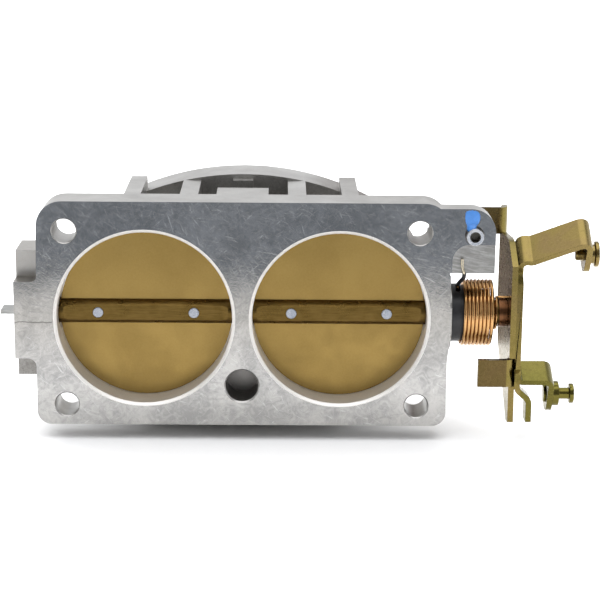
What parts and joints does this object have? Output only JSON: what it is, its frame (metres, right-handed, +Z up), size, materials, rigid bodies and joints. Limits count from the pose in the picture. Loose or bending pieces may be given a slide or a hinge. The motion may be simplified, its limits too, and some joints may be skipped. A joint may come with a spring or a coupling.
{
  "type": "throttle body",
  "caption": "Twin-bore engine throttle body with butterfly blades on one sprung shaft and a stamped cable linkage at one end.",
  "frame": {"origin": "middle of the machined engine-side mounting face, at the height of the throttle shaft", "axes": "+X along the shaft towards the linkage, +Y through the bores from the engine side to the air inlet, +Z up"},
  "size_m": [0.2123, 0.0681, 0.0886],
  "materials": {
    "cast_aluminium": "sand-cast skin with a milled, scratched mounting face",
    "bronze": "sintered bronze bush",
    "seal_rubber": "moulded black rubber",
    "bright_steel": "bright zinc-plated steel",
    "dark_steel": "phosphated spring steel",
    "shaft_brass": "turned and milled brass-toned shaft",
    "blade_brass": "satin brass sheet",
    "black_nylon": "moulded black nylon",
    "spring_copper": "copper-coloured spring wire",
    "dark_bronze": "dark bronze sleeve",
    "chromate_steel": "stamped steel with yellow chromate",
    "chromate_stud": "turned steel with yellow chromate",
    "sealing_paint": "dab of glossy blue sealing paint"
  },
  "bodies": {
    "body": {"housing": "cast_aluminium", "left_bush": "bronze", "middle_bush": "bronze", "right_bush": "bronze", "left_seal": "seal_rubber", "right_seal": "seal_rubber", "thrust_washer": "bright_steel", "spring_spool": "black_nylon", "return_spring": "spring_copper", "inner_spring": "spring_copper", "leg_sleeve": "black_nylon"},
    "shaft": {"throttle_shaft": "shaft_brass", "left_blade": "blade_brass", "right_blade": "blade_brass", "blade_screws": "bright_steel", "shaft_clip": "dark_steel", "shaft_spacer": "dark_bronze", "stop_lever": "chromate_steel", "cable_lever": "chromate_steel", "cable_stud": "chromate_stud", "cruise_stud": "chromate_stud"},
    "stop_screw": {"idle_stop_screw": "bright_steel"}
  },
  "joints": [
    {"name": "throttle", "type": "hinge", "parent": "body", "child": "shaft", "pos_m": [0, 0.0127, 0], "axis": [-1, 0, 0], "range_deg": [0, 84], "stiffness_Nm_per_rad": 0.3, "springref_deg": -45.84, "deforming": ["return_spring", "inner_spring"]},
    {"name": "idle_stop_travel", "type": "slide", "parent": "body", "child": "stop_screw", "axis": [0, -1, 0], "range_m": [0, 0.004]}
  ]
}
